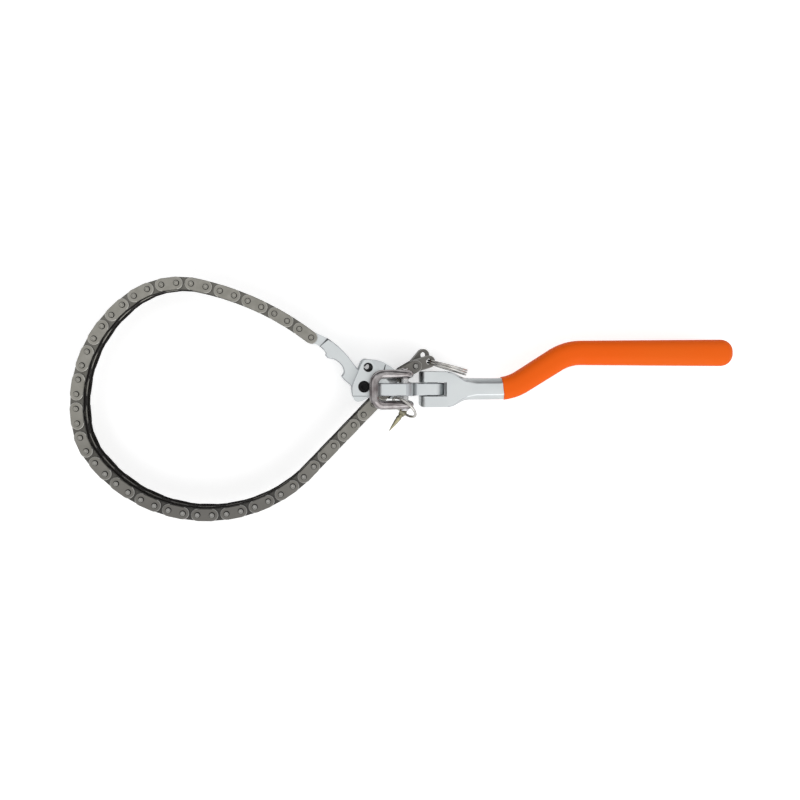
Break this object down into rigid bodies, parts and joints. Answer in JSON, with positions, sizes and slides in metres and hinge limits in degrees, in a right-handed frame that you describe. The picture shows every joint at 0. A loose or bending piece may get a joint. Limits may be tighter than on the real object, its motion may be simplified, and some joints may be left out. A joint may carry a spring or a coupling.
{
  "type": "chain wrench",
  "caption": "Chain wrench: forged head with a swinging jaw arm, a duplex roller chain looped back into its teeth, a bow shackle and a folding fork handle with a dipped grip.",
  "frame": {"origin": "a place on the flat of the rear cheek, beside the jaw pivot", "axes": "+X runs along the handle to its grip, +Y is up in the wrench's plan, +Z points away from the bench that the rear cheek lies on"},
  "size_m": [0.4459, 0.1602, 0.0474],
  "materials": {
    "forging_steel": "satin chrome plate over a forging",
    "chain_steel": "oiled dark steel chain",
    "dark_chrome": "dark bright plate",
    "black_oxide": "black oxide",
    "bright_wire": "bright wire",
    "zinc_yellow": "yellow zinc plate",
    "grip_vinyl": "orange dipped vinyl"
  },
  "bodies": {
    "head": {"head_body": "forging_steel", "jaw_pivot_pin": "black_oxide", "stop_roll_pin": "black_oxide", "chain_links_31_32": "chain_steel", "chain_links_33_34": "chain_steel", "chain_links_35_36": "chain_steel", "chain_links_37_38": "chain_steel", "chain_links_39_40": "chain_steel", "chain_links_41_42": "chain_steel", "chain_links_43_44": "chain_steel", "chain_links_45_46": "chain_steel", "chain_links_47_48": "chain_steel", "chain_links_49_50": "chain_steel", "chain_links_51_52": "chain_steel"},
    "handle": {"handle_forging": "forging_steel", "handle_grip": "grip_vinyl", "handle_hinge_pin": "black_oxide"},
    "shackle": {"bow_shackle": "dark_chrome", "shackle_pin": "bright_wire"},
    "tether": {"tether_ring": "bright_wire"},
    "spike": {"tether_spike": "zinc_yellow"},
    "jaw": {"jaw_arm": "forging_steel"},
    "chain_upper_run": {"chain_links_01_02": "chain_steel", "chain_links_03_04": "chain_steel", "chain_links_05_06": "chain_steel", "chain_links_07_08": "chain_steel", "chain_links_09_10": "chain_steel", "chain_links_11_12": "chain_steel", "chain_links_13_14": "chain_steel", "chain_links_15_16": "chain_steel", "chain_links_17_18": "chain_steel", "chain_links_19_20": "chain_steel", "chain_links_21_22": "chain_steel", "chain_links_23_24": "chain_steel", "chain_links_25_25": "chain_steel"},
    "chain_return_run": {"chain_links_26_28": "chain_steel", "chain_links_29_30": "chain_steel"},
    "chain_tail": {"chain_links_53_53": "chain_steel"},
    "end_block_front": {"chain_end_block_front": "chain_steel"},
    "end_block_rear": {"chain_end_block_rear": "chain_steel"},
    "finger_ring": {"pull_ring": "bright_wire"}
  },
  "joints": [
    {"name": "jaw_swing", "type": "hinge", "parent": "head", "child": "jaw", "pos_m": [-0.0092, -0.0046, 0.01937], "axis": [0, 0, 1], "range_deg": [-6.5, 18]},
    {"name": "chain_start_pin", "type": "hinge", "parent": "jaw", "child": "chain_upper_run", "pos_m": [-0.04365, 0.02754, 0.01937], "axis": [0, 0, 1], "range_deg": [-18, 6.5]},
    {"name": "chain_swing_pin", "type": "hinge", "parent": "chain_upper_run", "child": "chain_return_run", "pos_m": [-0.18963, -0.04638, 0.01937], "axis": [0, 0, 1], "range_deg": [-6.5, 18]},
    {"name": "handle_fold", "type": "hinge", "parent": "head", "child": "handle", "pos_m": [0.03773, -0.007, 0.01937], "axis": [0, 1, 0], "range_deg": [-90, 90]},
    {"name": "shackle_swing", "type": "hinge", "parent": "head", "child": "shackle", "pos_m": [0.01763, -0.0065, 0.03737], "axis": [0, 1, 0], "range_deg": [0, 120]},
    {"name": "tether_swing", "type": "hinge", "parent": "shackle", "child": "tether", "pos_m": [0.01763, -0.01655, 0.03737], "axis": [-0.9511, 0, 0.309], "range_deg": [-8, 8]},
    {"name": "spike_swing", "type": "hinge", "parent": "tether", "child": "spike", "pos_m": [0.01679, -0.02219, 0.0298], "axis": [0.7827, -0.5743, 0.24], "range_deg": [-20, 20]},
    {"name": "chain_tail_pin", "type": "hinge", "parent": "head", "child": "chain_tail", "pos_m": [0.01723, 0.00386, 0.01937], "axis": [0, 0, 1], "range_deg": [0, 20]},
    {"name": "front_block_pin", "type": "hinge", "parent": "chain_tail", "child": "end_block_front", "pos_m": [0.02548, 0.00862, 0.01937], "axis": [0, 0, 1], "range_deg": [0, 30]},
    {"name": "rear_block_pin", "type": "hinge", "parent": "end_block_front", "child": "end_block_rear", "pos_m": [0.02548, 0.00862, 0.01937], "axis": [0, 0, 1], "range_deg": [0, 40]},
    {"name": "finger_ring_pivot", "type": "hinge", "parent": "end_block_front", "child": "finger_ring", "pos_m": [0.03454, 0.01156, 0.02448], "axis": [0, 0, 1], "range_deg": [0, 10]}
  ],
  "couplings": [
    {"joint": "chain_start_pin", "follows": "jaw_swing", "ratio": -1},
    {"joint": "chain_swing_pin", "follows": "jaw_swing", "ratio": 1}
  ]
}
